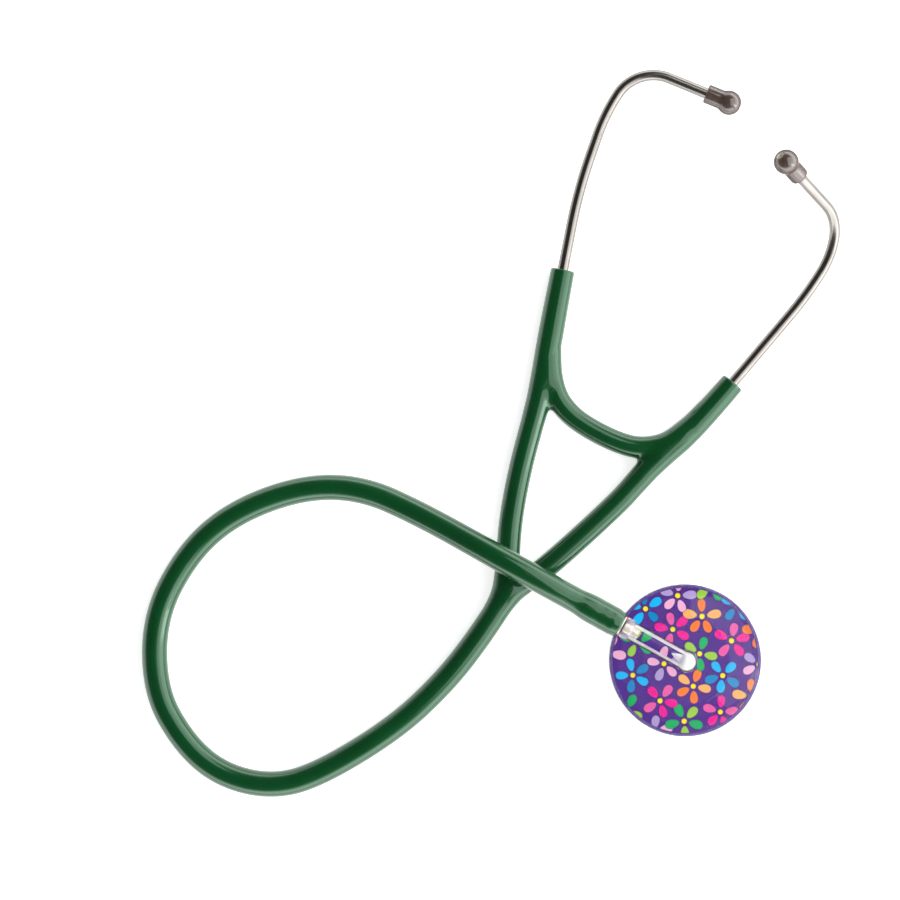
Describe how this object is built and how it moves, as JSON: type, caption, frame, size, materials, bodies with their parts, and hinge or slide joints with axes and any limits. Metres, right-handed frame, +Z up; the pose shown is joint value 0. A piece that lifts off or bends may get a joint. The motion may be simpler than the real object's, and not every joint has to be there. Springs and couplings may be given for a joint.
{
  "type": "stethoscope",
  "caption": "Single-head stethoscope lying flat: soft tube looped over its yoke, sprung metal ear tubes with soft tips, clear dome head with a flower print.",
  "frame": {"origin": "centre of the diaphragm's contact face, on the surface that the stethoscope lies on", "axes": "+Z up, away from the contact face; +X and +Y lie in the surface, and the stem leaves the head 151 degrees from +X"},
  "size_m": [0.2776, 0.29, 0.0423],
  "materials": {
    "tubing_pvc": "glossy moulded PVC",
    "ear_tube_metal": "polished plated tube",
    "ear_tip_soft": "smoky translucent elastomer",
    "tip_core_plastic": "moulded insert",
    "spring_steel": "rolled strip",
    "stem_metal": "turned and satin plated",
    "seal_rubber": "moulded seal",
    "head_acrylic": "clear polished acrylic",
    "print_film": "printed film, flowers on a plain ground",
    "chamber_plastic": "moulded ring",
    "diaphragm_sheet": "stiff resin sheet",
    "rim_clear": "clear moulded ring"
  },
  "bodies": {
    "tubing": {"main_tube": "tubing_pvc", "yoke": "tubing_pvc", "left_branch": "tubing_pvc", "right_branch": "tubing_pvc", "bridge": "tubing_pvc", "leaf_spring": "spring_steel", "stem": "stem_metal", "stem_seal": "seal_rubber"},
    "left_arm": {"left_sleeve": "tubing_pvc", "left_spring_clip": "spring_steel"},
    "left_eartube": {"left_ear_tube": "ear_tube_metal", "left_ferrule": "ear_tube_metal"},
    "left_tip": {"left_ear_tip": "ear_tip_soft", "left_tip_insert": "tip_core_plastic"},
    "right_arm": {"right_sleeve": "tubing_pvc", "right_spring_clip": "spring_steel"},
    "right_eartube": {"right_ear_tube": "ear_tube_metal", "right_ferrule": "ear_tube_metal"},
    "right_tip": {"right_ear_tip": "ear_tip_soft", "right_tip_insert": "tip_core_plastic"},
    "head": {"chestpiece_body": "head_acrylic", "print_disc": "print_film", "chamber_ring": "chamber_plastic", "diaphragm": "diaphragm_sheet", "retaining_rim": "rim_clear"}
  },
  "joints": [
    {"name": "left_arm_spread", "type": "hinge", "parent": "tubing", "child": "left_arm", "pos_m": [-0.034, 0.0905, 0.0052], "axis": [0, 0, 1], "range_deg": [-3, 25], "stiffness_Nm_per_rad": 0.8, "deforming": ["left_branch", "bridge", "leaf_spring"]},
    {"name": "left_tube_turn", "type": "hinge", "parent": "left_arm", "child": "left_eartube", "pos_m": [-0.0488, 0.1557, 0.0052], "axis": [0.1908, 0.9816, 0], "range_deg": [-60, 60]},
    {"name": "left_tip_pull", "type": "slide", "parent": "left_eartube", "child": "left_tip", "axis": [0.9251, -0.3796, 0], "range_m": [0, 0.012]},
    {"name": "right_arm_spread", "type": "hinge", "parent": "tubing", "child": "right_arm", "pos_m": [-0.034, 0.0905, 0.0052], "axis": [0, 0, -1], "range_deg": [-3, 25], "stiffness_Nm_per_rad": 0.8, "deforming": ["right_branch", "bridge", "leaf_spring"]},
    {"name": "right_tube_turn", "type": "hinge", "parent": "right_arm", "child": "right_eartube", "pos_m": [0.019, 0.1108, 0.0052], "axis": [0.6455, 0.7638, 0], "range_deg": [-60, 60]},
    {"name": "right_tip_pull", "type": "slide", "parent": "right_eartube", "child": "right_tip", "axis": [-0.587, 0.5259, 0.6155], "range_m": [0, 0.012]},
    {"name": "head_swivel", "type": "hinge", "parent": "tubing", "child": "head", "pos_m": [0, 0, 0.0118], "axis": [-0.8746, 0.4848, 0], "continuous": true}
  ]
}
